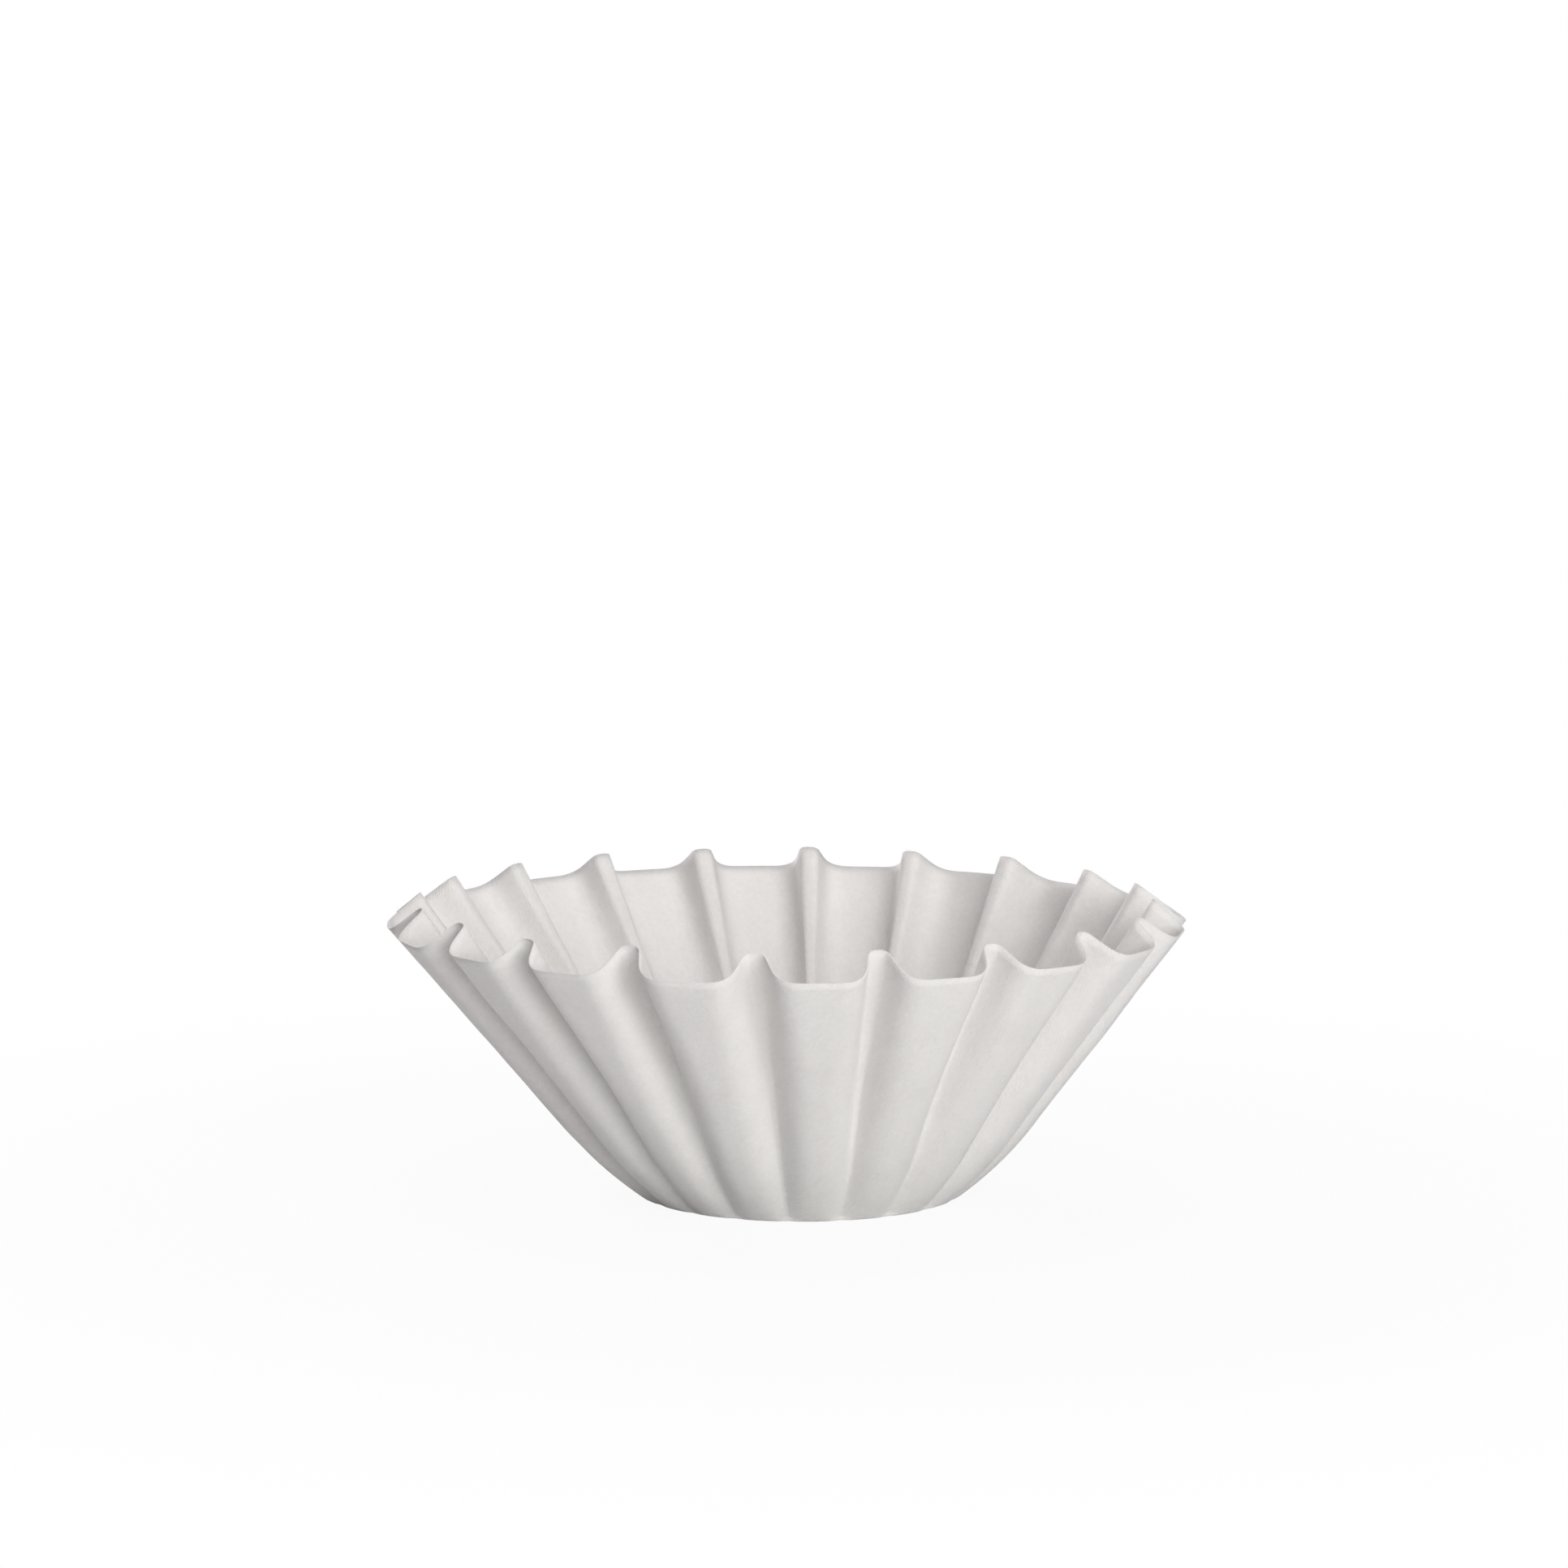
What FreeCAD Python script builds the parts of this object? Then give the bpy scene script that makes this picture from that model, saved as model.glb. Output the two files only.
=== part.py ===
import FreeCAD, Part
import math
import os
import Sketcher
from FreeCAD import Vector

# A flat-bottomed, fluted paper coffee filter: one round sheet of filter paper, pressed into
# a cup. The middle of the sheet stays flat as the foot. Outside the crease the sheet has more
# paper than the wall has room for, and the spare width goes into flutes: broad lobes with a
# narrow groove between them, almost nothing at the crease and deepest at the cut edge.
# Millimetres. The origin is the centre of the foot's underside, and +Z points out of the cup.

os.makedirs("parts", exist_ok=True)
doc = FreeCAD.newDocument("coffee_filter")

SIZES = {
    "paper_thickness": 0.2,
    # the flat round sheet before folding, and the flat foot left in its middle
    "sheet_diameter": 185,
    "foot_diameter": 57.4,
    # lean of the wall from the vertical at the crease and above its bend, in degrees
    "crease_lean": 54.6,
    "wall_lean": 38.5,
    "bend_radius": 66,
    # how far a groove lies inside the lobes, and the turn from a lobe's face to its flank
    "flute_count": 20,
    "crease_depth": 0.6,
    "rim_depth": 6.9,
    "flank_turn": 70,
    # rounding of a lobe's shoulders and of a groove
    "crease_shoulder": 0.9,
    "rim_shoulder": 4,
    "crease_groove": 0.3,
    "rim_groove": 1.2,
    # wall drawn past the cut edge, for the trim to take off
    "trim_allowance": 7,
    # half the angle that the trim reaches to either side of the wall
    "trim_reach": 15,
}

# Flat strips that stand for the round of a shoulder and of half a groove, and those that
# the wall is drawn in between the crease and the end of the bend, and above it.
SHOULDER_STRIPS = 3
GROOVE_STRIPS = 1
BEND_STRIPS = 2
RUN_STRIPS = 2

doc.addObject("Spreadsheet::Sheet", "Sizes")
for row, (alias, number) in enumerate(SIZES.items(), start=1):
    doc.Sizes.set(f"A{row}", alias)
    doc.Sizes.set(f"B{row}", str(number))
    doc.Sizes.setAlias(f"B{row}", alias)
doc.recompute()

# The lobes' crests follow one profile: an arc of the bend radius from the crease's lean to the
# wall's, then a straight run. These are its lengths along the paper.
CREASE_RADIUS = "(Sizes.foot_diameter / 2)"
LEAN_TURNED = "(Sizes.crease_lean - Sizes.wall_lean)"
BEND_LENGTH = f"(Sizes.bend_radius * {LEAN_TURNED} * pi / 180)"
WALL_LENGTH = f"(Sizes.sheet_diameter / 2 - {CREASE_RADIUS})"
RUN_LENGTH = f"({WALL_LENGTH} - {BEND_LENGTH})"
HALF_PITCH = "(180 deg / Sizes.flute_count)"


class Station:
    """A level of the wall, as expressions: bend_share goes from 0 at the crease to 1 at the
    end of the bend, and run is the length of the straight wall below the station."""

    def __init__(self, bend_share, run="0"):
        start = "(Sizes.crease_lean * 1 deg)"
        lean = f"((Sizes.crease_lean - {bend_share} * {LEAN_TURNED}) * 1 deg)"
        self.height = f"(Sizes.bend_radius * (sin({start}) - sin({lean})) + {run} * cos({lean}))"
        self.crest = (f"({CREASE_RADIUS} + {run} * sin({lean})"
                      f" + Sizes.bend_radius * (cos({lean}) - cos({start})))")
        self.wall = f"(Sizes.paper_thickness / cos({lean}))"
        share = f"({bend_share} * {BEND_LENGTH} + {run}) / {WALL_LENGTH}"
        self.depth, self.shoulder, self.groove = (
            f"(Sizes.crease_{size} + (Sizes.rim_{size} - Sizes.crease_{size}) * {share})"
            for size in ("depth", "shoulder", "groove"))
        self.groove_reach = f"({self.crest} - {self.depth} + {self.groove})"


def value(expression):
    return float(doc.Sizes.evalExpression(expression))


def origin_feature(body, role):
    return next(feature for feature in body.Origin.OriginFeatures if feature.Role == role)


def sketch_on(body, name, role, height="0"):
    """A sketch on one of the body's own origin planes, raised by height."""
    sketch = body.newObject("Sketcher::SketchObject", name)
    sketch.AttachmentSupport = [(origin_feature(body, role), "")]
    sketch.MapMode = "FlatFace"
    sketch.setExpression(".AttachmentOffset.Base.z", height)
    return sketch


def sized(sketch, name, expression, kind, *where):
    """Add a dimension that the expression drives."""
    drawn = math.radians(value(expression)) if kind == "Angle" else value(expression)
    index = sketch.addConstraint(Sketcher.Constraint(kind, *where, drawn))
    sketch.renameConstraint(index, name)
    sketch.setExpression(f"Constraints.{name}", expression)


def joined(sketch, kind, *where):
    sketch.addConstraint(Sketcher.Constraint(kind, *where))


START, END, CENTRE = 1, 2, 3
X_AXIS, ORIGIN = -1, (-1, 1)


def polar(radius, angle):
    return Vector(radius * math.cos(angle), radius * math.sin(angle), 0)


def line(sketch, start, end, construction=False):
    return sketch.addGeometry(Part.LineSegment(start, end), construction)


def strips(sketch, guide, centre, radius, start, end, count):
    """Equal chords along a guide arc, from its start point to its end point."""
    step = (end - start) / count
    corners = [centre + polar(radius, start + i * step) for i in range(count + 1)]
    chords = [line(sketch, *pair) for pair in zip(corners, corners[1:])]
    joined(sketch, "Coincident", chords[0], START, guide, START)
    joined(sketch, "Coincident", chords[-1], END, guide, END)
    for before, after in zip(chords, chords[1:]):
        joined(sketch, "Coincident", before, END, after, START)
        joined(sketch, "PointOnObject", after, START, guide)
        joined(sketch, "Equal", before, after)


def arc(sketch, centre, radius, start, end, construction=True):
    circle = Part.Circle(centre, Vector(0, 0, 1), radius)
    return sketch.addGeometry(Part.ArcOfCircle(circle, start, end), construction)


def groove_rays(sketch, station):
    """Construction lines from the axis to the centres of the grooves on either side."""
    tip = polar(value(station.groove_reach), math.radians(value(HALF_PITCH)))
    rays = {side: line(sketch, Vector(), Vector(tip.x, side * tip.y, 0), True) for side in (1, -1)}
    for ray in rays.values():
        joined(sketch, "Coincident", ray, START, *ORIGIN)
    joined(sketch, "Symmetric", rays[1], END, rays[-1], END, X_AXIS)
    sized(sketch, "half_pitch", HALF_PITCH, "Angle", rays[1])
    sized(sketch, "groove_reach", station.groove_reach, "Distance", rays[1])
    return rays


def flute_line(sketch, rays, station, label, inset="0"):
    """One face of the paper across a flute, inset from its outer face: the lobe's flat face,
    then on each side a shoulder, a straight flank and half a groove, as far as the ray.
    Returns the curve and point that end it on each ray."""
    turn, half_pitch = math.radians(SIZES["flank_turn"]), math.radians(value(HALF_PITCH))
    crest = value(f"{station.crest} - {inset}")
    shoulder = value(f"{station.shoulder} - {inset}")
    groove = value(f"{station.groove} + {inset}")
    reach = polar(value(station.groove_reach), half_pitch)
    flank = (crest - shoulder + (shoulder + groove) * math.cos(turn) - reach.x) / math.sin(turn)
    half_face = reach.y - (shoulder + groove) * math.sin(turn) - flank * math.cos(turn)

    face = line(sketch, Vector(crest, -half_face, 0), Vector(crest, half_face, 0))
    joined(sketch, "Symmetric", face, START, face, END, X_AXIS)
    sized(sketch, f"{label}_crest", f"{station.crest} - {inset}", "DistanceX", *ORIGIN, face, END)
    ends = {}
    for side, face_end in ((1, END), (-1, START)):
        shoulder_centre = Vector(crest - shoulder, side * half_face, 0)
        groove_centre = Vector(reach.x, side * reach.y, 0)
        sweep = sorted((0, side * turn))
        hollow = sorted((side * turn, side * half_pitch))
        shoulder_arc = arc(sketch, shoulder_centre, shoulder, *sweep)
        groove_arc = arc(sketch, groove_centre, groove, *(math.pi + angle for angle in hollow))
        edge = line(sketch, shoulder_centre + polar(shoulder, side * turn),
                    groove_centre - polar(groove, side * turn))
        near, far = (START, END) if side > 0 else (END, START)
        joined(sketch, "Tangent", face, face_end, shoulder_arc, near)
        joined(sketch, "Tangent", shoulder_arc, far, edge, START)
        joined(sketch, "Tangent", edge, END, groove_arc, far)
        joined(sketch, "Coincident", groove_arc, CENTRE, rays[side], END)
        joined(sketch, "PointOnObject", groove_arc, near, rays[side])
        hand = "left" if side > 0 else "right"
        sized(sketch, f"{label}_shoulder_{hand}", f"{station.shoulder} - {inset}", "Radius", shoulder_arc)
        sized(sketch, f"{label}_groove_{hand}", f"{station.groove} + {inset}", "Radius", groove_arc)
        strips(sketch, shoulder_arc, shoulder_centre, shoulder, *sweep, SHOULDER_STRIPS)
        strips(sketch, groove_arc, groove_centre, groove,
               *(math.pi + angle for angle in hollow), GROOVE_STRIPS)
        ends[side] = (groove_arc, near)
        if side > 0:
            sized(sketch, f"{label}_flank", "(90 + Sizes.flank_turn) * 1 deg", "Angle", edge)
    return ends


def link(sketch, first, second):
    """Join two curve ends with a straight edge."""
    edge = line(sketch, sketch.getPoint(*first), sketch.getPoint(*second))
    joined(sketch, "Coincident", edge, START, *first)
    joined(sketch, "Coincident", edge, END, *second)
    return edge


def wall_section(body, name, station):
    """The paper of one flute, cut level at a station."""
    sketch = sketch_on(body, name, "XY_Plane", station.height)
    rays = groove_rays(sketch, station)
    outer = flute_line(sketch, rays, station, "outer")
    inner = flute_line(sketch, rays, station, "inner", station.wall)
    for side in rays:
        link(sketch, outer[side], inner[side])
    return sketch


def foot_section(body, name, station):
    """One flute's share of the foot: from the axis out to the outer face of the paper."""
    sketch = sketch_on(body, name, "XY_Plane")
    rays = groove_rays(sketch, station)
    for end in flute_line(sketch, rays, station, "outer").values():
        link(sketch, end, ORIGIN)
    return sketch


def edge_trim(body, station):
    """The region past the cut edge, which lies at the same distance from the crease on every
    flute: a band between two arcs about the crease, to be turned about the cup's axis."""
    sketch = sketch_on(body, "EdgeTrimSection", "XZ_Plane")
    reach = f"sqrt(({station.crest} - {CREASE_RADIUS}) ^ 2 + {station.height} ^ 2)"
    outer_reach = f"{reach} + 2 * Sizes.trim_allowance"
    limits = [math.radians(90 - SIZES["wall_lean"] + side * SIZES["trim_reach"]) for side in (-1, 1)]
    centre = Vector(value(CREASE_RADIUS), 0, 0)
    arcs = [arc(sketch, centre, value(radius), *limits, False) for radius in (reach, outer_reach)]
    joined(sketch, "PointOnObject", arcs[0], CENTRE, X_AXIS)
    joined(sketch, "Coincident", arcs[0], CENTRE, arcs[1], CENTRE)
    sized(sketch, "crease", CREASE_RADIUS, "DistanceX", *ORIGIN, arcs[0], CENTRE)
    sized(sketch, "reach", reach, "Radius", arcs[0])
    sized(sketch, "outer_reach", outer_reach, "Radius", arcs[1])
    for point, sign in ((START, "-"), (END, "+")):
        edge = link(sketch, (arcs[0], point), (arcs[1], point))
        joined(sketch, "PointOnObject", arcs[0], CENTRE, edge)
        sized(sketch, "lower_limit" if point == START else "upper_limit",
              f"(90 - Sizes.wall_lean {sign} Sizes.trim_reach) * 1 deg", "Angle", edge)
    return sketch


def filter_paper():
    """The whole sheet: one flute and its share of the foot, turned about the axis, with the
    wall trimmed to the sheet's cut edge."""
    body = doc.addObject("PartDesign::Body", "filter_paper")
    crease = Station(0)
    bend = [Station(i / BEND_STRIPS) for i in range(1, BEND_STRIPS + 1)]
    run = [Station(1, f"(({RUN_LENGTH} + Sizes.trim_allowance) * {i / RUN_STRIPS})")
           for i in range(1, RUN_STRIPS + 1)]
    sections = [wall_section(body, f"WallSection{i}", level)
                for i, level in enumerate([crease, *bend, *run])]
    foot = foot_section(body, "FootSection", crease)
    doc.recompute()

    wall = body.newObject("PartDesign::AdditiveLoft", "FluteWall")
    wall.Profile = (sections[0], [""])
    wall.Sections = [(section, [""]) for section in sections[1:]]
    wall.Ruled = True
    share = body.newObject("PartDesign::Pad", "FootShare")
    share.Profile = (foot, [""])
    share.setExpression("Length", "Sizes.paper_thickness")

    flutes = body.newObject("PartDesign::PolarPattern", "Flutes")
    flutes.Originals = [wall, share]
    flutes.Axis = (origin_feature(body, "Z_Axis"), [""])
    flutes.Angle = 360
    flutes.setExpression("Occurrences", "Sizes.flute_count")
    body.Tip = flutes
    doc.recompute()

    trim = body.newObject("PartDesign::Groove", "EdgeTrim")
    trim.Profile = (edge_trim(body, Station(1, RUN_LENGTH)), [""])
    trim.ReferenceAxis = (trim.Profile[0], ["V_Axis"])
    trim.Angle = 360
    body.Tip = trim
    doc.recompute()
    if trim.Shape.Volume > flutes.Shape.Volume * 0.999:
        raise RuntimeError("the trim took nothing off the wall")
    return body


body = filter_paper()
for thing in doc.Objects:
    if "Invalid" in thing.State or "Error" in thing.State:
        raise RuntimeError(f"{thing.Label} did not compute")
if body.Shape.isNull() or not body.Shape.isValid() or len(body.Shape.Solids) != 1:
    raise RuntimeError("the filter is not one valid solid")
body.Shape.exportStep(f"parts/{body.Label}.step")
box = body.Shape.BoundBox
print(f"{body.Label}: {body.Shape.Volume:.0f} mm3, {box.XLength:.1f} x {box.YLength:.1f} x {box.ZLength:.1f} mm")
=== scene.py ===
# %% [markdown]
# # A paper coffee filter, folded from one flat disc
#
# The real thing is a round sheet of crepe paper that a ribbed mould presses into a cup: a flat
# round foot, a sharp crease, and a wall of twenty flutes that lets the sheet stand up without a
# cut or a seam. This lesson makes it in the same order: a flat disc of paper, then the fold,
# then the thickness, the loose fibres at the cut edge, and the paper's own finish.
#
# The lines below load the packed solid as a fixed frame. Everything is in metres.

# %% Load the frame
import math
import bpy
import numpy as np
from mathutils import Matrix, Vector


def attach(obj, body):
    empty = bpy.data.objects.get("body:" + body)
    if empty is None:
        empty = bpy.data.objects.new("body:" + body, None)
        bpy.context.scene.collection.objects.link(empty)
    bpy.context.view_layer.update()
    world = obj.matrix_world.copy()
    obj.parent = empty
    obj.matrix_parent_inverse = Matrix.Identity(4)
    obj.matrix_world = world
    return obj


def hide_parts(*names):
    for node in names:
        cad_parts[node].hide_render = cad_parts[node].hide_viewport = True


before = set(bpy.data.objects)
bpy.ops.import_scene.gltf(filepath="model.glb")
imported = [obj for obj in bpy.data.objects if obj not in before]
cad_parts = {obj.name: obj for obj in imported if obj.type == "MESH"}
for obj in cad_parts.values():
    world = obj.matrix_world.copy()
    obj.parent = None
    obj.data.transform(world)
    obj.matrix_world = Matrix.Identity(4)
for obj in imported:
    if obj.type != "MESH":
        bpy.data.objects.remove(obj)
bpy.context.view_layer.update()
MM = 0.001

# %% [markdown]
# ## The camera
#
# A long lens stands 0.9 m from the foot and looks slightly down, so that the rim shows as a thin
# curve and the flutes as steep folds. The camera is turned a few degrees about the filter,
# because no flute faces it squarely. It could also be placed with a Track To constraint, but a
# plain position and a matrix from two directions say exactly where it is.

# %% Camera
CAMERA_DISTANCE = 0.900
CAMERA_HEIGHT_ANGLE = math.radians(11.48)
CAMERA_AZIMUTH = math.radians(-4.6)
CAMERA_PITCH = math.radians(6.90)
SENSOR = 36.0
FOCAL_PIXELS, FRAME_PIXELS, FOOT_OFF_MIDDLE_PIXELS = 6226.0, 1932.0, 20.0
FOOT_RIGHT_OF_MIDDLE = FOOT_OFF_MIDDLE_PIXELS * CAMERA_DISTANCE / FOCAL_PIXELS


def add_camera():
    """A camera that looks along its own pitch, with the foot below the middle of the frame."""
    across = Vector((math.cos(CAMERA_AZIMUTH), math.sin(CAMERA_AZIMUTH), 0))
    ahead = Vector((-across.y, across.x, 0))
    place = -ahead * CAMERA_DISTANCE * math.cos(CAMERA_HEIGHT_ANGLE)
    place += Vector((0, 0, CAMERA_DISTANCE * math.sin(CAMERA_HEIGHT_ANGLE)))
    place -= across * FOOT_RIGHT_OF_MIDDLE
    look = ahead * math.cos(CAMERA_PITCH) - Vector((0, 0, math.sin(CAMERA_PITCH)))
    data = bpy.data.cameras.new("camera")
    data.sensor_width = SENSOR
    data.lens = FOCAL_PIXELS / FRAME_PIXELS * SENSOR
    camera = bpy.data.objects.new("camera", data)
    turned = Matrix((across, across.cross(look), -look)).transposed()
    camera.matrix_world = Matrix.Translation(place) @ turned.to_4x4()
    bpy.context.scene.collection.objects.link(camera)
    bpy.context.scene.camera = camera
    return camera


camera = add_camera()
print("camera", [round(c, 4) for c in camera.location], "lens", round(camera.data.lens, 1))

# %% [markdown]
# ## Writing arithmetic as nodes
#
# Both the fold and the finish are sums that the nodes work out. The nodes could be placed and
# joined one by one, but a tree is easier to read when a sum is written as a sum. So one small
# helper adds a node and joins its inputs in one line.

# %% A helper for node trees
class Sums:
    """Adds nodes to one tree. A value is a number, a tuple or another node's output."""

    def __init__(self, tree):
        self.tree = tree

    def node(self, kind, inputs=(), **settings):
        """One node, with its settings, and its inputs by name or in their order."""
        made = self.tree.nodes.new(kind)
        for name, setting in settings.items():
            setattr(made, name, setting)
        pairs = inputs.items() if isinstance(inputs, dict) else enumerate(inputs)
        for socket, value in pairs:
            if isinstance(value, bpy.types.NodeSocket):
                self.tree.links.new(value, made.inputs[socket])
            else:
                made.inputs[socket].default_value = value
        return made

    def math(self, operation, *values):
        return self.node("ShaderNodeMath", values, operation=operation).outputs[0]

    def add(self, *values):
        total = values[0]
        for value in values[1:]:
            total = self.math("ADD", total, value)
        return total

    def times(self, *values):
        total = values[0]
        for value in values[1:]:
            total = self.math("MULTIPLY", total, value)
        return total

    def less(self, a, b):
        return self.math("SUBTRACT", a, b)

    def over(self, a, b):
        return self.math("DIVIDE", a, b)

    def least(self, a, b):
        return self.math("MINIMUM", a, b)

    def most(self, a, b):
        return self.math("MAXIMUM", a, b)

    def sine(self, angle):
        return self.math("SINE", angle)

    def cosine(self, angle):
        return self.math("COSINE", angle)

    def fade(self, distance, reach):
        """1 at no distance, either way, and soon 0 past the reach."""
        return self.math("EXPONENT", self.times(self.math("ABSOLUTE", distance), -1 / reach))

    def ramp(self, value, start, end, low=0.0, high=1.0):
        """Goes smoothly from low at start to high at end, and stays there beyond them."""
        return self.node("ShaderNodeMapRange", {"Value": value, "From Min": start, "From Max": end,
                                                "To Min": low, "To Max": high},
                         interpolation_type="SMOOTHSTEP").outputs[0]

    def vector(self, x, y, z):
        return self.node("ShaderNodeCombineXYZ", [x, y, z]).outputs[0]

    def length(self, vector):
        return self.node("ShaderNodeVectorMath", [vector], operation="LENGTH").outputs["Value"]

    def chance(self, low, high, seed, **number):
        """A random number between two values, for each point or for each ID."""
        made = self.node("FunctionNodeRandomValue", {2: low, 3: high, "Seed": seed, **number},
                         data_type="FLOAT")
        return made.outputs[1]

    def colour(self, share, none, full):
        """A colour that goes from one, where the share is 0, to another, where it is 1."""
        made = self.node("ShaderNodeMix", {"Factor": share, 6: none, 7: full}, data_type="RGBA")
        return made.outputs[2]

    def given(self):
        """The tree's own inputs, by their names."""
        entry = self.node("NodeGroupInput")
        return {socket.name: socket for socket in entry.outputs if socket.name}


print("sums:", ", ".join(name for name in vars(Sums) if not name.startswith("_")))

# %% [markdown]
# ## The flat disc
#
# The sheet starts as what it was cut to: a disc 185 mm across. Its mesh is rings of points round
# one middle point. Each flute takes 48 columns of points, and the rings lie close together where
# the foot's crease will be. Towards the middle each ring has half the columns of the next, since
# thin slivers of faces shade badly. A filled circle would be quicker, but the fold needs to know
# each point's ring, its column and how many columns on its neighbour is, so all three are stored
# on the mesh as attributes.

# %% Sizes of the disc and its rings
SHEET_MM, FOOT_MM = 185, 28.7
SHEET_DIAMETER, FOOT_RADIUS = SHEET_MM * MM, FOOT_MM * MM
FLUTES = 20
COLUMNS = 48 * FLUTES
# rings in the foot: their radius in mm, and from one point to the next so many columns
MIDDLE_RINGS = [(3.0, 32), (6.0, 16), (10.0, 8), (15.0, 4), (20.5, 2)]
# rings near the crease and up the wall: how far beyond the crease they lie, in mm
CREASE_RINGS = [-3.6, -2.0, -1.0, -0.5, -0.2, 0.0, 0.2, 0.5, 1.0, 1.9, 3.0, 4.4]
WALL_RINGS = np.linspace(6.0, SHEET_MM / 2 - FOOT_MM, 36)
rings = MIDDLE_RINGS + [(FOOT_MM + beyond, 1) for beyond in [*CREASE_RINGS, *WALL_RINGS]]
print(len(rings), "rings out to", rings[-1][0], "mm,", COLUMNS, "columns")


# %% Flat disc
def ring_points():
    """The points from the middle out, with the ring, column and stride of each."""
    points, stored = [(0, 0, 0)], {"ring": [-1], "column": [0], "stride": [0]}
    for number, (reach, stride) in enumerate(rings):
        for column in range(0, COLUMNS, stride):
            turn = column * 2 * math.pi / COLUMNS
            points.append((reach * MM * math.cos(turn), reach * MM * math.sin(turn), 0))
            stored["ring"].append(number)
            stored["column"].append(column)
            stored["stride"].append(stride)
    return points, stored


def ring_faces():
    """Triangles round the middle and where the columns double, and four-sided faces beyond."""
    counts = [COLUMNS // stride for _, stride in rings]
    faces = [(0, 1 + k, 1 + (k + 1) % counts[0]) for k in range(counts[0])]
    low = 1
    for inner, outer in zip(counts, counts[1:]):
        high = low + inner
        for k in range(inner):
            after = (k + 1) % inner
            if inner == outer:
                faces.append((low + k, high + k, high + after, low + after))
            else:
                left, mid, right = high + 2 * k, high + 2 * k + 1, high + (2 * k + 2) % outer
                faces += [(low + k, left, mid), (low + k, mid, low + after),
                          (low + after, mid, right)]
        low = high
    return faces


def flat_disc():
    points, stored = ring_points()
    mesh = bpy.data.meshes.new("filter_sheet")
    mesh.from_pydata(points, [], ring_faces())
    for name, values in stored.items():
        mesh.attributes.new(name, "FLOAT", "POINT").data.foreach_set("value", values)
    return mesh


sheet = bpy.data.objects.new("filter_sheet", flat_disc())
bpy.context.scene.collection.objects.link(sheet)
print("disc", len(sheet.data.vertices), "points,", len(sheet.data.polygons), "faces")

# %% [markdown]
# ## The fold: one half flute
#
# Paper bends but hardly stretches, so each ring of the flat disc keeps its length while the wall
# stands it on a smaller circle. What is left over goes into the flutes. The tree walks along
# each ring: on a lobe the paper runs along the circle, at a flank it turns inward, and at the
# groove it turns back. How far it turns comes from the slack of that ring, so the flutes are
# shallow at the foot and deepest at the rim without anyone drawing their depth. The same could
# be done with a displacement of a cone, but that stretches the paper and rounds the flanks.
#
# A half flute runs from the middle of a lobe to the bottom of a groove. Its shape is its turn
# share: 0 where the paper follows the circle, 1 where it runs down the flank. Down the wall a
# lobe is one round sweep between narrow grooves. At the free rim it lies flatter and the groove
# is rounder. Each shape's averages tell how much slack a given turn takes up.

# %% The shape of one half flute
# where the turn starts, where it is full, and where it eases off before the groove
WALL_SHAPE = (0.0, 0.80, 0.89)
RIM_SHAPE = (0.20, 0.70, 0.82)
SAMPLES = 4000


def smooth(x, low, high):
    """The nodes' smooth ramp, for numbers."""
    t = np.clip((x - low) / (high - low), 0, 1)
    return t * t * (3 - 2 * t)


def averages(starts, full, eases):
    """The mean turn share along a half flute, and the means of its second to fourth powers."""
    along = (np.arange(SAMPLES) + 0.5) / SAMPLES
    turn_share = smooth(along, starts, full) * (1 - smooth(along, eases, 1.0))
    return [float(np.mean(turn_share ** power)) for power in (1, 2, 3, 4)]


print("averages", np.round(averages(*WALL_SHAPE), 3), np.round(averages(*RIM_SHAPE), 3))

# %% [markdown]
# ## The fold: where each column lies
#
# A pressed filter's grooves are tight and its lobes wide, so the 24 columns of a half flute
# aren't spread evenly: eight of them lie on its last seventh, where the paper turns back. The
# mould's flutes aren't all equally wide either. Three slow waves round the sheet shift the
# grooves a little. Moving each groove by chance would be simpler, but then two neighbours could
# come too close.

# %% Columns along a ring
# shares of the columns, and the share of the half flute that they reach
COLUMN_SPREAD = ((9 / 24, 0.50), (16 / 24, 0.86))
# waves round the sheet: how many, how strong, and where they start
WIDTH_WAVES = ((3, 0.50, 0.4), (7, 0.35, 2.1), (9, 0.25, 4.4))
# just under a half, so that the groove's own column counts with one side
HALF_WAY = 0.49999


def unequal_widths(s, given, even):
    """Shifts an evenly spread angle, so that no two flutes are quite alike."""
    waves = [s.times(given["Unequal Flutes"], size, s.sine(s.add(s.times(even, count), start)))
             for count, size, start in WIDTH_WAVES]
    return s.add(even, s.times(s.add(*waves), s.over(2 * math.pi, given["Flutes"])))


def place_along_ring(s, given, column):
    """A column's angle on the flat disc, its way along the half flute, and its flute's number."""
    flute = s.over(s.times(column, given["Flutes"]), COLUMNS)
    number = s.math("FLOOR", flute)
    part = s.less(flute, number)
    spread = s.node("ShaderNodeFloatCurve",
                    {"Value": s.math("PINGPONG", s.times(part, 2.0), 1.0)})
    curve = spread.mapping.curves[0]
    for x, y in COLUMN_SPREAD:
        curve.points.new(x, y)
    for point in curve.points:
        point.handle_type = "VECTOR"
    spread.mapping.update()
    way = spread.outputs[0]
    side = s.math("SIGN", s.less(HALF_WAY, part))
    share = s.less(s.add(number, 0.5), s.times(side, 0.5, s.less(1.0, way)))
    even = s.times(share, s.over(2 * math.pi, given["Flutes"]))
    return unequal_widths(s, given, even), way, number


print("columns in a half flute's last", round(1 - COLUMN_SPREAD[-1][1], 2), "of its length:",
      round(24 * (1 - COLUMN_SPREAD[-1][0])))

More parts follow.
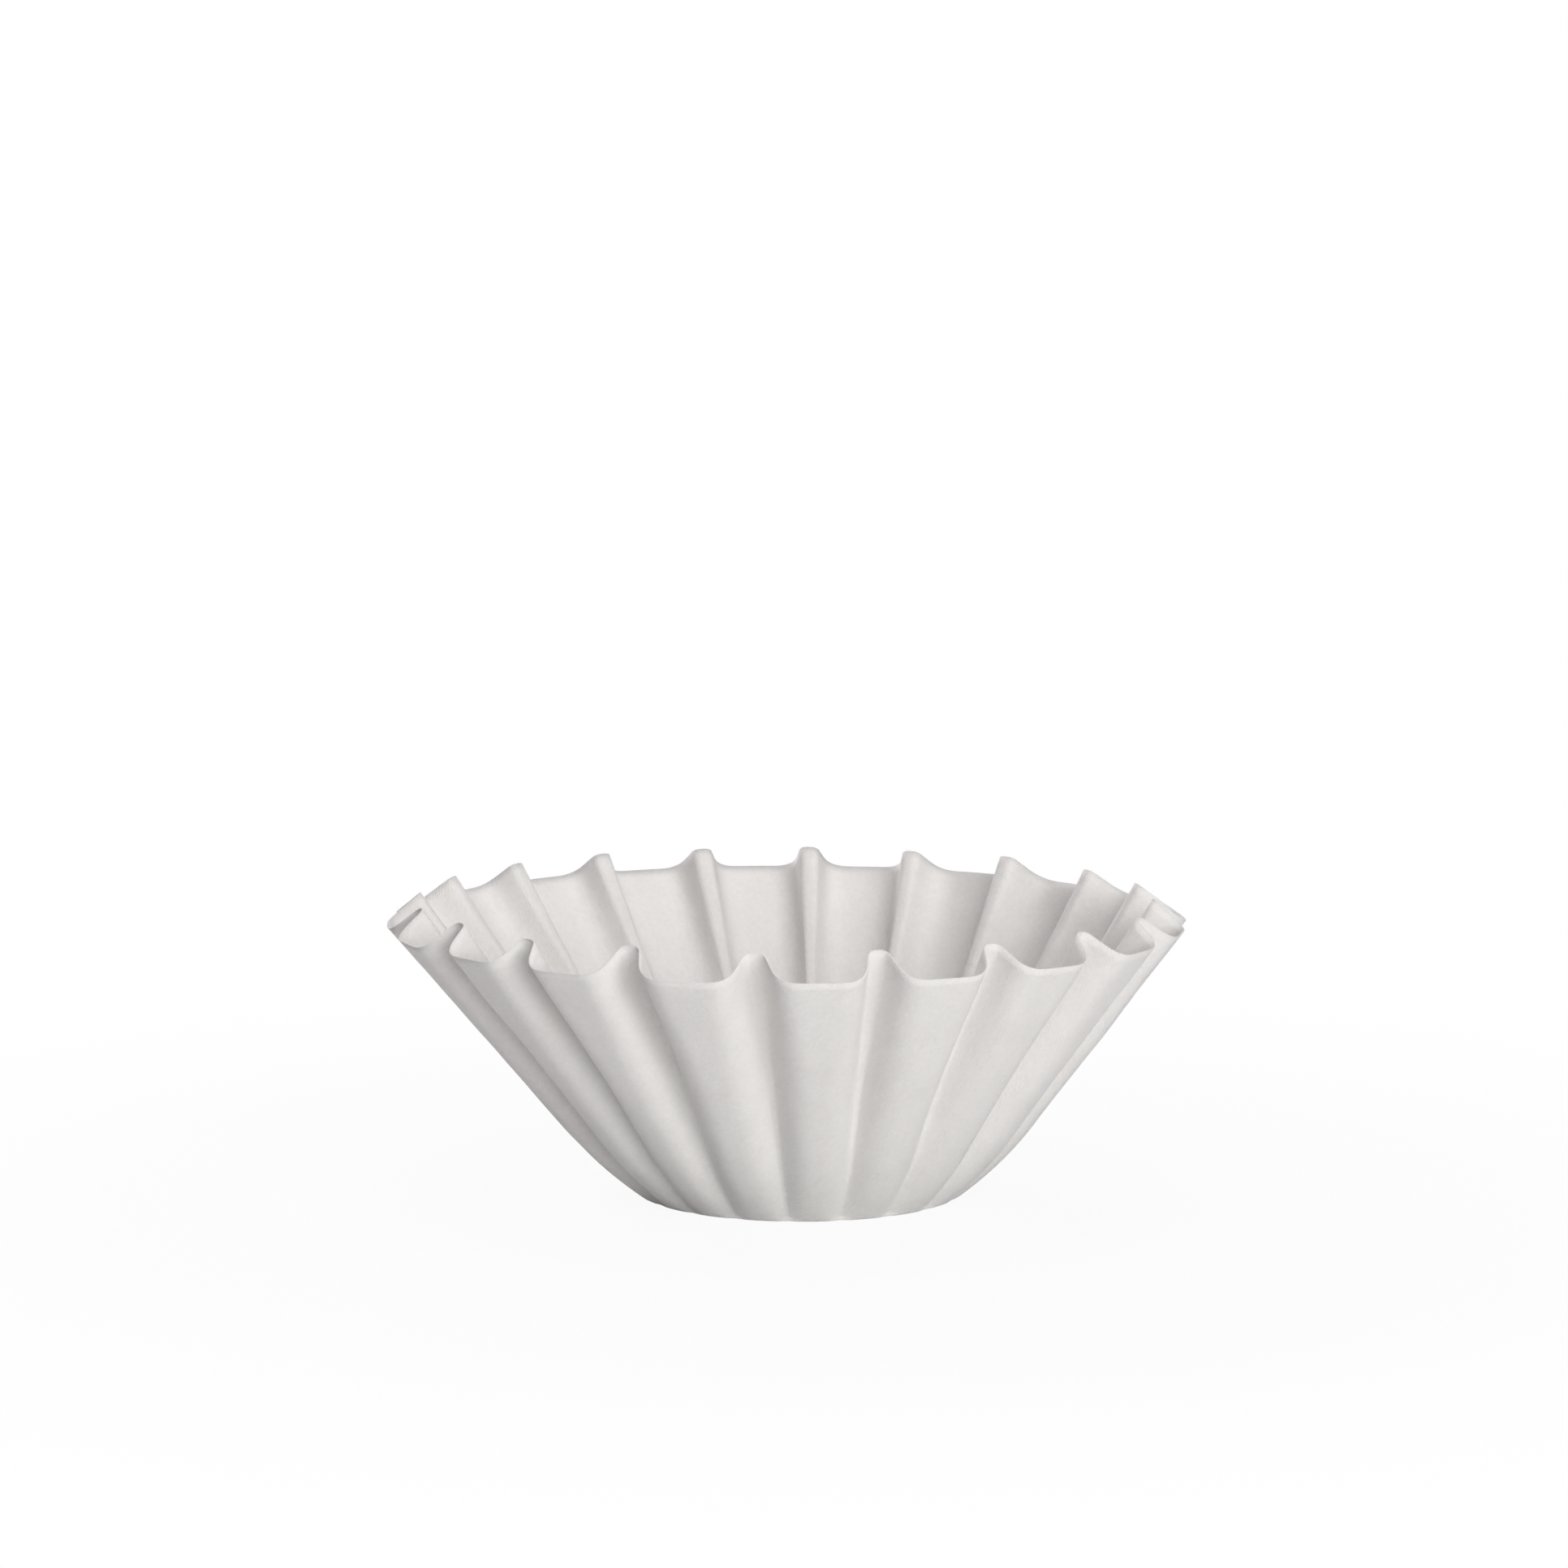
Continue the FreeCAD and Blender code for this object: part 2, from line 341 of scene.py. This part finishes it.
# %% [markdown]
# ## The fold: the wall's profile
#
# Seen from the side, the outermost line of a lobe runs flat to the crease, turns up there, bends
# slowly for 18.6 mm while it gets steeper, and is straight from there to the rim. A drawn curve
# could give the same line, but a bend of a known length keeps the paper's own length too. Dips
# in the paper go square to this line: straight up in the foot, and more and more inward up the
# wall.

# %% Profile
WALL_LEAN = math.radians(38.5)
CREASE_LEAN = math.radians(54.6)


def wall_profile(s, given, reach, beyond):
    """How far out and how high each ring's lobes stand, and how far inward and up dips go."""
    crease, wall, bend_length = given["Crease Lean"], given["Wall Lean"], given["Bend Length"]
    soft = given["Crease Softness"]
    bend = s.least(s.most(beyond, 0.0), bend_length)
    straight = s.most(s.less(beyond, bend_length), 0.0)
    curl = s.over(s.less(crease, wall), bend_length)
    lean_here = s.less(crease, s.times(curl, bend))
    stood = s.ramp(beyond, s.times(soft, -1.0), soft)
    lean = s.add(s.times(math.pi / 2, s.less(1.0, stood)), s.times(lean_here, stood))
    # the crease is a corner, rounded as far as the paper's softness reaches
    corner = s.less(math.pi / 2, crease)
    half_corner = s.times(corner, 0.5)
    near = s.most(s.less(soft, s.math("ABSOLUTE", beyond)), 0.0)
    rounding = s.over(s.times(near, near, corner, 0.25), soft)
    out = s.add(s.least(reach, given["Foot Radius"]),
                s.over(s.less(s.cosine(lean_here), s.cosine(crease)), curl),
                s.times(straight, s.sine(wall)))
    up = s.add(s.over(s.less(s.sine(crease), s.sine(lean_here)), curl),
               s.times(straight, s.cosine(wall)),
               s.times(rounding, s.cosine(half_corner)))
    out = s.less(out, s.times(rounding, s.sine(half_corner)))
    return out, up, s.cosine(lean), s.sine(lean)


print("the wall leans", round(math.degrees(CREASE_LEAN), 1), "degrees at the crease and",
      round(math.degrees(WALL_LEAN), 1), "above")

# %% [markdown]
# ## The fold: how far the flanks turn
#
# A ring's slack is the share of its length that the smaller circle has no room for. A flank that
# turns further uses up more of it. The turn could be found by trial for each ring, but the first
# two terms of the cosine's series are close enough and can be solved at once. The flutes' own
# depth brings the ring's mean radius in a little, so the sum is done twice.

# %% Turn from slack
# beyond the crease: where the flutes are fully there, and where the rim's shape comes in
FLUTES_BEGIN = 0.4 * MM
RIM_FROM, RIM_TO = 30 * MM, 62 * MM


def turn_for_slack(s, slack, mean_2, mean_4):
    """Solves slack = mean_2 turn^2 / 2 - mean_4 turn^4 / 24 for the turn."""
    half = s.times(0.5, mean_2)
    inside = s.less(s.times(half, half), s.times(s.most(slack, 0.0), mean_4, 1 / 6))
    return s.math("SQRT", s.over(s.less(half, s.math("SQRT", inside)), s.times(mean_4, 1 / 12)))


def paper_turn(s, given, reach, beyond, crest, inward, middle):
    """How far the paper is turned off the circle, at each place of a half flute."""
    rim_share = s.ramp(beyond, RIM_FROM, RIM_TO)

    def between(pair):
        return s.add(pair[0], s.times(pair[1] - pair[0], rim_share))

    def full_turn(mean_radius):
        return turn_for_slack(s, s.less(1.0, s.over(mean_radius, reach)), mean_2, mean_4)

    starts, full, eases = (between(pair) for pair in zip(WALL_SHAPE, RIM_SHAPE))
    mean_1, mean_2, mean_3, mean_4 = (between(pair) for pair in
                                      zip(averages(*WALL_SHAPE), averages(*RIM_SHAPE)))
    first = full_turn(crest)
    sine = s.less(s.times(mean_1, first), s.times(mean_3, 1 / 6, s.math("POWER", first, 3.0)))
    deep = s.times(sine, reach, s.over(math.pi, given["Flutes"]))
    second = full_turn(s.less(crest, s.times(0.5, deep, inward)))
    shape = s.times(s.ramp(middle, starts, full), s.less(1.0, s.ramp(middle, eases, 1.0)))
    return s.times(second, s.ramp(beyond, 0.0, FLUTES_BEGIN), shape)


print("the rim's own shape begins", round(RIM_FROM / MM), "mm up the wall")

# %% [markdown]
# ## The fold: walking round each ring
#
# Every step of the walk is the real length of paper between two neighbouring columns. The sine
# of the turn takes it in and the cosine takes it on round the circle, and Accumulate Field adds
# the steps up, ring by ring. What doesn't quite close after the last column is shared out over
# the whole ring. The mould also puckers the paper where the grooves meet the crease, and loose
# paper is never quite even, so a slow noise waves it. A simulation of cloth could find the folds
# by itself, but it wouldn't put them where the mould does.

# %% Walk and waves
PUCKER_REACH = 1.6 * MM
WAVE_SCALE, WAVE_DETAIL = 42.0, 2.0
WAVES_FROM, WAVES_FULL = -6 * MM, 20 * MM


def running(s, value, ring):
    """A value added up along its ring: up to each column, and the whole ring's sum."""
    added = s.node("GeometryNodeAccumulateField", {"Value": value, "Group ID": ring},
                   data_type="FLOAT")
    return added.outputs["Trailing"], added.outputs["Total"]


def walk_round(s, ring, step, turn, angle, crest, inward):
    """How deep each column lies under the lobes' line, and its angle on the folded ring."""
    dip = s.times(s.sine(turn), step)
    depth, depth_total = running(s, dip, ring)
    closing = s.times(depth_total, s.over(angle, 2 * math.pi))
    local = s.less(crest, s.times(s.add(depth, s.times(0.5, dip)), inward))
    gone, gone_total = running(s, s.over(s.times(s.cosine(turn), step), local), ring)
    round_angle = s.less(s.over(s.times(gone, 2 * math.pi), gone_total), math.pi / 2)
    return s.less(depth, closing), round_angle


def pucker_and_waves(s, given, beyond, way, flat):
    """The extra depth in the grooves at the crease, and the unevenness of loose paper."""
    pucker = s.times(given["Pucker"], s.ramp(way, 0.5, 1.0), s.fade(beyond, PUCKER_REACH))
    noise = s.node("ShaderNodeTexNoise", {"Vector": flat, "W": given["Seed"],
                                          "Scale": WAVE_SCALE, "Detail": WAVE_DETAIL},
                   noise_dimensions="4D").outputs[0]
    wave = s.times(s.less(noise, 0.5), given["Waviness"], s.ramp(beyond, WAVES_FROM, WAVES_FULL))
    return pucker, wave


print("waves from", round(WAVES_FROM / MM), "to", round(WAVES_FULL / MM), "mm beyond the crease")

# %% [markdown]
# ## The fold: the whole tree
#
# The pieces above come together in one Geometry Nodes tree. Before it moves the points, it also
# stores what the paper's finish needs later: each corner's place on the flat sheet, as a map, and
# how near each point is to the crease. A mesh worked out in plain Python would have the same
# shape, but here every size stays a named input that can be turned while looking.

# %% The fold's tree
THICKNESS = 0.2 * MM
# how far the painted shade along the foot's crease reaches
CREASE_SHADE_REACH = 0.7 * MM
FOLD_INPUTS = (
    ("Foot Radius", "NodeSocketFloat", FOOT_RADIUS),
    ("Crease Lean", "NodeSocketFloat", CREASE_LEAN),
    ("Wall Lean", "NodeSocketFloat", WALL_LEAN),
    ("Bend Length", "NodeSocketFloat", 18.6 * MM),
    ("Crease Softness", "NodeSocketFloat", 0.55 * MM),
    ("Flutes", "NodeSocketInt", FLUTES),
    ("Pucker", "NodeSocketFloat", 0.12 * MM),
    ("Unequal Flutes", "NodeSocketFloat", 0.04),
    ("Unequal Depth", "NodeSocketFloat", 0.05),
    ("Waviness", "NodeSocketFloat", 0.9 * MM),
    ("Rim Shift", "NodeSocketFloat", -0.050),
    ("Seed", "NodeSocketInt", 7),
    ("Paper", "NodeSocketMaterial", None),
)


def new_tree(name, inputs):
    """An empty Geometry Nodes tree with its named inputs."""
    tree = bpy.data.node_groups.new(name, "GeometryNodeTree")
    tree.interface.new_socket("Geometry", in_out="INPUT", socket_type="NodeSocketGeometry")
    tree.interface.new_socket("Geometry", in_out="OUTPUT", socket_type="NodeSocketGeometry")
    for label, kind, start in inputs:
        made = tree.interface.new_socket(label, in_out="INPUT", socket_type=kind)
        if start is not None:
            made.default_value = start
    return tree


def finish_tree(s, given, geometry):
    """Ends a tree in real faces with the paper on them."""
    whole = s.node("GeometryNodeRealizeInstances", [geometry])
    dressed = s.node("GeometryNodeSetMaterial",
                     {"Geometry": whole.outputs[0], "Material": given["Paper"]})
    s.node("NodeGroupOutput", [dressed.outputs[0]])


def remember_flat(s, given, flat, beyond):
    """Stores the place on the flat sheet and the nearness to the crease."""
    plan = s.node("ShaderNodeVectorMath", [flat, (1 / SHEET_DIAMETER,) * 3, (0.5, 0.5, 0.0)],
                  operation="MULTIPLY_ADD").outputs[0]
    mapped = s.node("GeometryNodeStoreNamedAttribute",
                    {"Geometry": given["Geometry"], "Name": "flat_sheet", "Value": plan},
                    data_type="FLOAT2", domain="CORNER")
    creased = s.node("GeometryNodeStoreNamedAttribute",
                     {"Geometry": mapped.outputs[0], "Name": "crease",
                      "Value": s.fade(beyond, CREASE_SHADE_REACH)},
                     data_type="FLOAT", domain="POINT")
    return creased.outputs[0]


def fold_tree():
    tree = new_tree("fold_the_sheet", FOLD_INPUTS)
    s = Sums(tree)
    given = s.given()
    ring, column, stride = (
        s.node("GeometryNodeInputNamedAttribute", {"Name": name}, data_type="FLOAT").outputs[0]
        for name in ("ring", "column", "stride"))
    reach = s.length(s.node("GeometryNodeInputPosition").outputs[0])
    beyond = s.less(reach, given["Foot Radius"])

    # each column and the next one on its ring
    angle, way, number = place_along_ring(s, given, column)
    angle_next, way_next, _ = place_along_ring(s, given, s.add(column, stride))
    side = s.math("SIGN", s.less(way_next, way))
    middle = s.times(0.5, s.add(way, way_next))
    step = s.times(reach, s.less(angle_next, angle))

    # the turn, a little more or less for each flute, and the walk
    crest, crest_height, inward, upward = wall_profile(s, given, reach, beyond)
    turn = paper_turn(s, given, reach, beyond, crest, inward, middle)
    uneven = s.chance(s.times(given["Unequal Depth"], -1.0), given["Unequal Depth"],
                      given["Seed"], ID=number)
    turn = s.times(turn, side, s.add(1.0, uneven))
    depth, round_angle = walk_round(s, ring, step, turn, angle, crest, inward)

    # the place of each point, half the paper's thickness above the table
    flat = s.vector(s.times(reach, s.cosine(angle)), s.times(reach, s.sine(angle)), 0.0)
    pucker, wave = pucker_and_waves(s, given, beyond, way, flat)
    depth = s.add(depth, pucker, wave)
    radius = s.less(crest, s.times(depth, inward))
    z = s.add(crest_height, s.times(depth, upward), THICKNESS / 2)
    x = s.add(s.times(radius, s.cosine(round_angle)), s.times(z, given["Rim Shift"]))
    folded = s.vector(x, s.times(radius, s.sine(round_angle)), z)
    moved = s.node("GeometryNodeSetPosition",
                   {"Geometry": remember_flat(s, given, flat, beyond), "Position": folded})
    finish_tree(s, given, moved.outputs[0])
    return tree


fold = fold_tree()
print("fold", len(fold.nodes), "nodes")

# %% [markdown]
# ## Running the fold
#
# The tree is a modifier on the flat disc. Its inputs are set by their identifiers, then the
# evaluated object is turned into a plain mesh. Solidify gives the paper its 0.2 mm, half to each
# side, and closes the cut edge all round. The tree could extrude the faces as well, but the
# modifier makes both sides and the edge in one step.

# %% Fold the sheet
def add_tree(obj, tree, **values):
    """Puts a tree on an object, with named inputs set by the sockets' identifiers."""
    modifier = obj.modifiers.new(tree.name, "NODES")
    modifier.node_group = tree
    for item in tree.interface.items_tree:
        if item.item_type == "SOCKET" and item.in_out == "INPUT" and item.name in values:
            modifier[item.identifier] = values[item.name]


def settle(obj):
    """Turns the evaluated object into a plain mesh and takes its modifiers off."""
    bpy.context.view_layer.update()
    shown = obj.evaluated_get(bpy.context.evaluated_depsgraph_get())
    mesh = bpy.data.meshes.new_from_object(shown)
    obj.modifiers.clear()
    obj.data = mesh
    mesh.name = obj.name


def points_of(obj):
    """The object's points, one row each."""
    return np.array([point.co for point in obj.data.vertices])


paper = bpy.data.materials.new("crepe_paper")
add_tree(sheet, fold, Paper=paper)
settle(sheet)
rim_points = points_of(sheet)[-COLUMNS:]
rim_radius = np.hypot(rim_points[:, 0], rim_points[:, 1]) / MM
rim_height = rim_points[:, 2] / MM
print("rim radius", rim_radius.min().round(2), "to", rim_radius.max().round(2), "mm, height",
      rim_height.min().round(2), "to", rim_height.max().round(2), "mm")

# %% Thickness
wall = sheet.modifiers.new("thickness", "SOLIDIFY")
wall.thickness, wall.offset = THICKNESS, 0.0
settle(sheet)
for face in sheet.data.polygons:
    face.use_smooth = True
print("sheet", len(sheet.data.polygons), "faces, from", (points_of(sheet) / MM).min(0).round(2),
      "to", (points_of(sheet) / MM).max(0).round(2), "mm")

# %% [markdown]
# ## Loose fibres at the cut edge
#
# The sheet is punched out of soft crepe paper, and under a lens its cut edge is a fringe of
# pulled fibres. Hair particles could make them, but they are lost when the piece is exported,
# so a tree sets short bent strands along the rim's own line, each turned and sized by chance.

# %% Fibre tree
FIBRE_INPUTS = (
    ("Count", "NodeSocketInt", 640),
    ("Length", "NodeSocketFloat", 0.75 * MM),
    ("Radius", "NodeSocketFloat", 0.014 * MM),
    ("Spread", "NodeSocketFloat", math.radians(62)),
    ("Outward", "NodeSocketFloat", math.sin(WALL_LEAN)),
    ("Upward", "NodeSocketFloat", math.cos(WALL_LEAN)),
    ("Seed", "NodeSocketInt", 3),
    ("Paper", "NodeSocketMaterial", None),
)
# one strand, a length of 1 from the edge out, with its root inside the paper
BOW = {"Start": (0.0, 0.0, -0.25), "Middle": (0.0, 0.0, 0.5), "End": (0.45, 0.1, 0.85)}
BOW_PARTS, STRAND_SIDES = 5, 4
# chance sizes are squared, so that short fibres are more common
SMALLEST, SIZE_POWER = 0.35, 2.0


def strand_shape(s, given):
    """One bent strand of unit length, with four sides and closed ends."""
    bow = s.node("GeometryNodeCurveQuadraticBezier", {"Resolution": BOW_PARTS, **BOW})
    ring = s.node("GeometryNodeCurvePrimitiveCircle",
                  {"Resolution": STRAND_SIDES, "Radius": s.over(given["Radius"], given["Length"])},
                  mode="RADIUS")
    return s.node("GeometryNodeCurveToMesh", {"Curve": bow.outputs[0],
                                              "Profile Curve": ring.outputs[0],
                                              "Fill Caps": True}).outputs[0]


def fibre_tree():
    tree = new_tree("edge_fringe", FIBRE_INPUTS)
    s = Sums(tree)
    given = s.given()

    def chance(low, high, draw):
        return s.chance(low, high, s.add(given["Seed"], draw))

    # spots along the rim
    rim_line = s.node("GeometryNodeMeshToCurve", [given["Geometry"]]).outputs[0]
    spots = s.node("GeometryNodePoints", [given["Count"]]).outputs[0]
    on_rim = s.node("GeometryNodeSampleCurve", {"Curves": rim_line, "Factor": chance(0.0, 1.0, 0)},
                    mode="FACTOR", use_all_curves=True)
    placed = s.node("GeometryNodeSetPosition",
                    {"Geometry": spots, "Position": on_rim.outputs["Position"]})

    # the way up the wall at each spot, and a turn off it by chance
    place = s.node("ShaderNodeSeparateXYZ", [s.node("GeometryNodeInputPosition").outputs[0]])
    x, y = place.outputs[0], place.outputs[1]
    reach = s.math("SQRT", s.add(s.times(x, x), s.times(y, y)))
    ahead = s.vector(s.over(s.times(x, given["Outward"]), reach),
                     s.over(s.times(y, given["Outward"]), reach), given["Upward"])
    facing = s.node("FunctionNodeAlignRotationToVector", {"Vector": ahead}, axis="Z").outputs[0]
    spread, other_way = given["Spread"], s.times(given["Spread"], -1.0)
    lean = s.vector(chance(other_way, spread, 1), chance(other_way, spread, 2),
                    chance(0.0, 2 * math.pi, 3))
    loose = s.node("FunctionNodeEulerToRotation", [lean]).outputs[0]
    turned = s.node("FunctionNodeRotateRotation", [facing, loose], rotation_space="LOCAL")

    size = s.times(given["Length"], s.math("POWER", chance(SMALLEST, 1.0, 4), SIZE_POWER))
    fringe = s.node("GeometryNodeInstanceOnPoints",
                    {"Points": placed.outputs[0], "Instance": strand_shape(s, given),
                     "Rotation": turned.outputs[0], "Scale": size})
    whole = s.node("GeometryNodeRealizeInstances", [fringe.outputs[0]])
    soft = s.node("GeometryNodeSetShadeSmooth", [whole.outputs[0]])
    finish_tree(s, given, soft.outputs[0])
    return tree


fringe_tree = fibre_tree()
print("fringe", len(fringe_tree.nodes), "nodes")

# %% Set the fibres along the rim
rim_mesh = bpy.data.meshes.new("edge_fibres")
rim_mesh.from_pydata([tuple(point) for point in rim_points],
                     [(k, (k + 1) % COLUMNS) for k in range(COLUMNS)], [])
fibres = bpy.data.objects.new("edge_fibres", rim_mesh)
bpy.context.scene.collection.objects.link(fibres)
add_tree(fibres, fringe_tree, Paper=paper)
settle(fibres)
print("fibres", len(fibres.data.polygons), "faces")

# %% [markdown]
# ## The paper's finish
#
# Filter paper is soft and dull: wood fibres, lightly creped, so that fine ripples run across the
# sheet in one direction and catch a low light. A noise on Object coordinates could stand in for
# them, but it would run straight through the folds. The pattern belongs to the flat sheet, so it
# is read from the flat disc's own map, in millimetres, and follows the paper round every flute.
# Four heights are added up: ripples, the felt of fibres, single long fibres, and a slow cockle.
# The colour varies only a little, with how thick the fibres lie, and a painted shade darkens it
# along the crease.

# %% Paper sizes and colours
CREPE_DIRECTION = math.radians(55)
FIBRE_DIRECTION = CREPE_DIRECTION + 1.1
RIPPLE_PERIOD_MM, RIPPLE_BEND = 0.44, 9.0
RIPPLES_NONE, RIPPLES_FULL = 0.24, 0.66
RIPPLE_HEIGHT, FELT_HEIGHT = 0.018 * MM, 0.060 * MM
FIBRE_HEIGHT, COCKLE_HEIGHT = 0.030 * MM, 0.16 * MM
THIN_PAPER, THICK_PAPER = (0.787, 0.776, 0.766, 1), (0.817, 0.807, 0.797, 1)
# painted shade: the paper goes towards a darker mauve grey along the foot's crease, where shade
# falls
CREASE_SHADE_PAPER, CREASE_SHADE_SHARE = (0.70, 0.675, 0.665, 1), 0.22
print("ripples", RIPPLE_PERIOD_MM, "mm apart,", round(RIPPLE_HEIGHT / MM, 3), "mm up and down")


# %% Paper material
class SheetPatterns(Sums):
    """Patterns on the flat sheet's own map, with sizes in millimetres."""

    def turned_plan(self, turn):
        plan = self.node("ShaderNodeUVMap", uv_map="flat_sheet").outputs[0]
        size = SHEET_DIAMETER / MM
        return self.node("ShaderNodeMapping", {"Vector": plan, "Rotation": (0, 0, turn),
                                               "Scale": (size, size, size)},
                         vector_type="POINT").outputs[0]

    def pattern(self, across, along, turn, detail=2.0, roughness=0.5, swirl=0.0):
        """Noise whose grains are so many millimetres across and along, turned on the sheet."""
        grain = self.node("ShaderNodeVectorMath",
                          [self.turned_plan(turn), (1 / across, 1 / along, 1.0)],
                          operation="MULTIPLY").outputs[0]
        return self.node("ShaderNodeTexNoise",
                         {"Vector": grain, "Scale": 1.0, "Detail": detail,
                          "Roughness": roughness, "Distortion": swirl},
                         noise_dimensions="2D").outputs[0]

    def stripes(self, period, turn, swirl):
        """Fine waves side by side, bent and broken up by slower noise."""
        across = self.node("ShaderNodeSeparateXYZ", [self.turned_plan(turn)]).outputs[0]
        bent = self.times(self.pattern(1.1, 1.7, turn), swirl)
        wave = self.sine(self.add(self.times(across, 2 * math.pi / period), bent))
        patches = self.ramp(self.pattern(3.0, 4.0, turn), RIPPLES_NONE, RIPPLES_FULL)
        return self.times(wave, patches)


def paper_finish(material):
    material.use_nodes = True
    material.node_tree.nodes.clear()
    s = SheetPatterns(material.node_tree)
    ripples = s.stripes(RIPPLE_PERIOD_MM, CREPE_DIRECTION, RIPPLE_BEND)
    felt = s.pattern(0.9, 0.9, 0.0, detail=4.0, roughness=0.65)
    fibre = s.pattern(0.20, 2.2, FIBRE_DIRECTION, detail=1.0, swirl=1.2)
    cockle = s.pattern(7.0, 9.0, CREPE_DIRECTION)
    height = s.add(s.times(ripples, RIPPLE_HEIGHT), s.times(felt, FELT_HEIGHT),
                   s.times(fibre, FIBRE_HEIGHT), s.times(cockle, COCKLE_HEIGHT))
    relief = s.node("ShaderNodeBump", {"Strength": 1.0, "Distance": 1.0, "Height": height})

    thick = s.ramp(s.add(s.times(felt, 0.7), s.times(cockle, 0.3)), 0.35, 0.65)
    crease = s.node("ShaderNodeAttribute", attribute_name="crease").outputs["Fac"]
    tone = s.colour(thick, THIN_PAPER, THICK_PAPER)
    # painted shade along the crease, mixed into the paper's colour
    crease_shaded = s.colour(s.times(crease, CREASE_SHADE_SHARE), tone, CREASE_SHADE_PAPER)
    shader = s.node("ShaderNodeBsdfPrincipled", {
        "Base Color": crease_shaded, "Roughness": 0.93, "Normal": relief.outputs[0],
        "Specular IOR Level": 0.25, "Sheen Weight": 0.10, "Sheen Roughness": 0.6})
    s.node("ShaderNodeOutputMaterial", [shader.outputs[0]])


paper_finish(paper)
print("paper", len(paper.node_tree.nodes), "nodes")

# %% [markdown]
# ## Floor and room
#
# The filter stands on a pale table in a white room. The table keeps the soft shadow under the
# foot, and further out it goes over to plain white, so that no edge shows where it ends. A
# brighter lamp could make it white as well, but that would wash out the paper. So the camera sees
# white by Light Path, while the light that the table throws back under the flutes is that of a
# light grey. The table lies 0.1 mm under the foot, because the foot isn't quite flat.

# %% Floor and room
FLOOR_HALF, FLOOR_DROP = 6.0, 0.1 * MM
TABLE_GREY, PLAIN_WHITE = (0.76, 0.76, 0.76, 1), (1, 1, 1, 1)
SHADOW_TO, WHITE_FROM, WHITE_AT_FOOT = 0.06, 0.26, 0.93
ROOM_TINT, ROOM_STRENGTH = (1.0, 0.955, 0.985, 1), 0.03


def white_share(s, share):
    """How much plain white the camera, a mirror or glass sees in place of the lit surface."""
    path = s.node("ShaderNodeLightPath").outputs
    seen = s.add(path["Is Camera Ray"], path["Is Glossy Ray"], path["Is Transmission Ray"])
    return s.times(s.least(seen, 1.0), share)


def paint_floor(material):
    material.use_nodes = True
    material.node_tree.nodes.clear()
    s = Sums(material.node_tree)
    table = s.node("ShaderNodeBsdfDiffuse", {"Color": TABLE_GREY})
    bright = s.node("ShaderNodeEmission", {"Color": PLAIN_WHITE, "Strength": 1.0})
    away = s.length(s.node("ShaderNodeTexCoord").outputs["Object"])
    share = white_share(s, s.ramp(away, SHADOW_TO, WHITE_FROM, WHITE_AT_FOOT, 1.0))
    seen = s.node("ShaderNodeMixShader", [share, table.outputs[0], bright.outputs[0]])
    s.node("ShaderNodeOutputMaterial", [seen.outputs[0]])


def paint_room(world):
    world.use_nodes = True
    world.node_tree.nodes.clear()
    s = Sums(world.node_tree)
    room = s.node("ShaderNodeBackground", {"Color": ROOM_TINT, "Strength": ROOM_STRENGTH})
    white = s.node("ShaderNodeBackground", {"Color": PLAIN_WHITE, "Strength": 1.0})
    both = s.node("ShaderNodeMixShader", [white_share(s, 1.0), room.outputs[0], white.outputs[0]])
    s.node("ShaderNodeOutputWorld", [both.outputs[0]])


floor_mesh = bpy.data.meshes.new("floor")
floor_mesh.from_pydata([(x * FLOOR_HALF, y * FLOOR_HALF, -FLOOR_DROP)
                        for x, y in ((-1, -1), (1, -1), (1, 1), (-1, 1))], [], [(0, 1, 2, 3)])
floor_mesh.materials.append(bpy.data.materials.new("white_table"))
paint_floor(floor_mesh.materials[0])
floor = bpy.data.objects.new("floor", floor_mesh)
bpy.context.scene.collection.objects.link(floor)
bpy.context.scene.world = bpy.data.worlds.new("room")
paint_room(bpy.context.scene.world)
print("floor", 2 * FLOOR_HALF, "m across,", round(FLOOR_DROP / MM, 1), "mm under the foot")

# %% [markdown]
# ## Lamps
#
# White folds on white only show by their shade. The key light is a soft box low in front and a
# little to the right, which leaves the left side of every flute in shade. A weaker one hangs
# above the filter, for the inside, and one stands behind it, so that the back isn't dark. Light
# from the room alone would be simpler, but it flattens the flutes.

# %% Lamps
LAMP_AIM, LAMP_DISTANCE = Vector((0, 0, 0.03)), 1.20
KEY_WHITE, SOFT_WHITE = (1.0, 0.990, 0.980), (1.0, 0.972, 0.975)


def lamp(name, turn, height, size, power, colour):
    """A soft box that faces the filter, from so many degrees round it and above it."""
    data = bpy.data.lights.new(name, "AREA")
    data.shape, data.energy, data.color = "RECTANGLE", power, colour
    data.size, data.size_y = size
    turn, height = math.radians(turn), math.radians(height)
    away = Vector((math.sin(turn) * math.cos(height), -math.cos(turn) * math.cos(height),
                   math.sin(height)))
    made = bpy.data.objects.new(name, data)
    made.location = LAMP_AIM + LAMP_DISTANCE * away
    made.rotation_euler = (LAMP_AIM - made.location).to_track_quat("-Z", "Y").to_euler()
    bpy.context.scene.collection.objects.link(made)
    print("lamp", name, power, "W at", [round(c, 2) for c in made.location])


lamp("key", 18, 14, (1.00, 0.60), 11.6, KEY_WHITE)
lamp("top", 0, 86, (0.60, 0.60), 5.6, SOFT_WHITE)
lamp("back", 198, 20, (1.20, 0.60), 12.5, SOFT_WHITE)
bpy.context.scene.view_settings.view_transform = "Standard"

# %% [markdown]
# ## The sheet on its body
#
# A filter has no moving parts, so the sheet and its fibres both ride on the one body. The sheet
# takes the packed solid's place, which is hidden: a disc of paper, cut flat and held folded,
# whose area the fold has to keep.

# %% Ride and replace
for piece in (sheet, fibres):
    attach(piece, "root")
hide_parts("filter_paper")
print("declared", sheet.name, "with", fibres.name)
